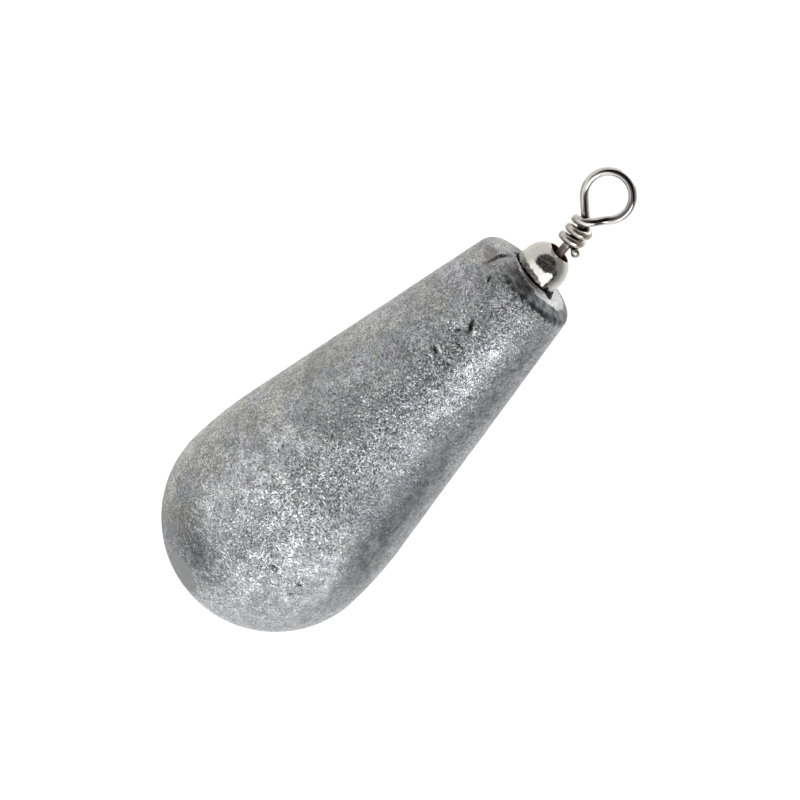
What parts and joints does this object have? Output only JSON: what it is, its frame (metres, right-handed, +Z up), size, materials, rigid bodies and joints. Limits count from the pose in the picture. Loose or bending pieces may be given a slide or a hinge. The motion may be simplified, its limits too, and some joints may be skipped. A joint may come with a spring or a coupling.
{
  "type": "fishing sinker",
  "caption": "Pear-shaped cast lead fishing sinker with a barrel swivel cast into its top and a twisted wire eye that turns freely for the line.",
  "frame": {"origin": "centre of the line eye's loop, where a line or snap holds the sinker", "axes": "+Z up along the lead's axis as the sinker hangs, towards the eye; -Y is the side where the eye's wire crosses over itself"},
  "size_m": [0.0205, 0.0204, 0.0554],
  "materials": {
    "cast_lead": "grey cast lead, coarse crystalline flank, smoother shoulder",
    "plated_barrel": "nickel-plated brass, polished",
    "wire": "bright plated steel wire"
  },
  "bodies": {
    "weight": {"lead_body": "cast_lead", "swivel_barrel": "plated_barrel", "anchor_eye": "wire"},
    "eye": {"line_eye": "wire"}
  },
  "joints": [
    {"name": "line_eye_spin", "type": "hinge", "parent": "weight", "child": "eye", "pos_m": [0.00088, 0, -0.00835], "axis": [-0.1045, 0, 0.9945], "continuous": true}
  ]
}
